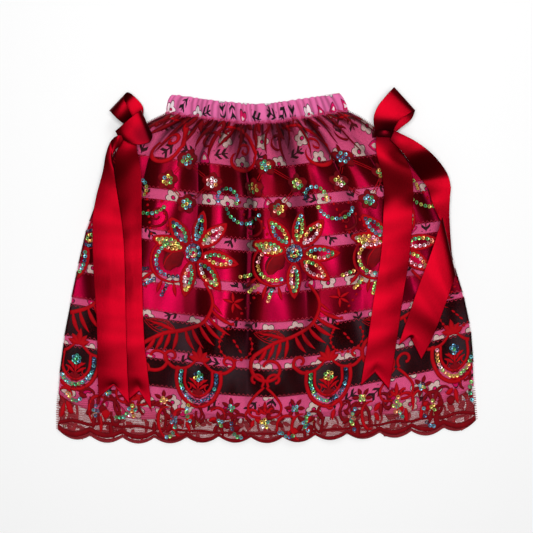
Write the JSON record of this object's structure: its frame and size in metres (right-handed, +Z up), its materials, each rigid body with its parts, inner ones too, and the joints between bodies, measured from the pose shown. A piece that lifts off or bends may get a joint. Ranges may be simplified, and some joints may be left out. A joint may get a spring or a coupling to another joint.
{
  "type": "ribbon skirt",
  "caption": "Child's gathered ribbon skirt laid flat: elastic waist, satin ribbon stripes under a scalloped embroidered tulle overskirt, and a satin bow at each side.",
  "frame": {"origin": "on the surface the skirt lies on, under the middle of its outline", "axes": "+X across the front to the right, +Y up to the waist, +Z up off the surface"},
  "size_m": [0.5382, 0.4508, 0.0422],
  "materials": {
    "pink_cotton": "plain woven cotton with a small printed motif",
    "magenta_satin": "glossy satin ribbon",
    "black_satin": "glossy satin ribbon",
    "red_tulle": "sheer tulle with corded embroidery and sequins",
    "red_satin": "glossy satin ribbon"
  },
  "bodies": {
    "root": {"waistband_front": "pink_cotton", "waistband_back": "pink_cotton", "cotton_front": "pink_cotton", "cotton_back": "pink_cotton", "ribbon_front_1": "magenta_satin", "ribbon_front_2": "magenta_satin", "ribbon_front_3": "magenta_satin", "ribbon_front_4": "magenta_satin", "ribbon_front_5": "black_satin", "ribbon_front_6": "black_satin", "ribbon_back_1": "magenta_satin", "ribbon_back_2": "magenta_satin", "ribbon_back_3": "magenta_satin", "ribbon_back_4": "magenta_satin", "ribbon_back_5": "black_satin", "ribbon_back_6": "black_satin", "lace_front": "red_tulle", "lace_back": "red_tulle", "bow_left_loop": "red_satin", "bow_left_fold": "red_satin", "bow_left_tail_outer": "red_satin", "bow_left_tail_inner": "red_satin", "bow_right_loop": "red_satin", "bow_right_knot": "red_satin", "bow_right_tail_outer": "red_satin", "bow_right_tail_inner": "red_satin"}
  },
  "joints": []
}
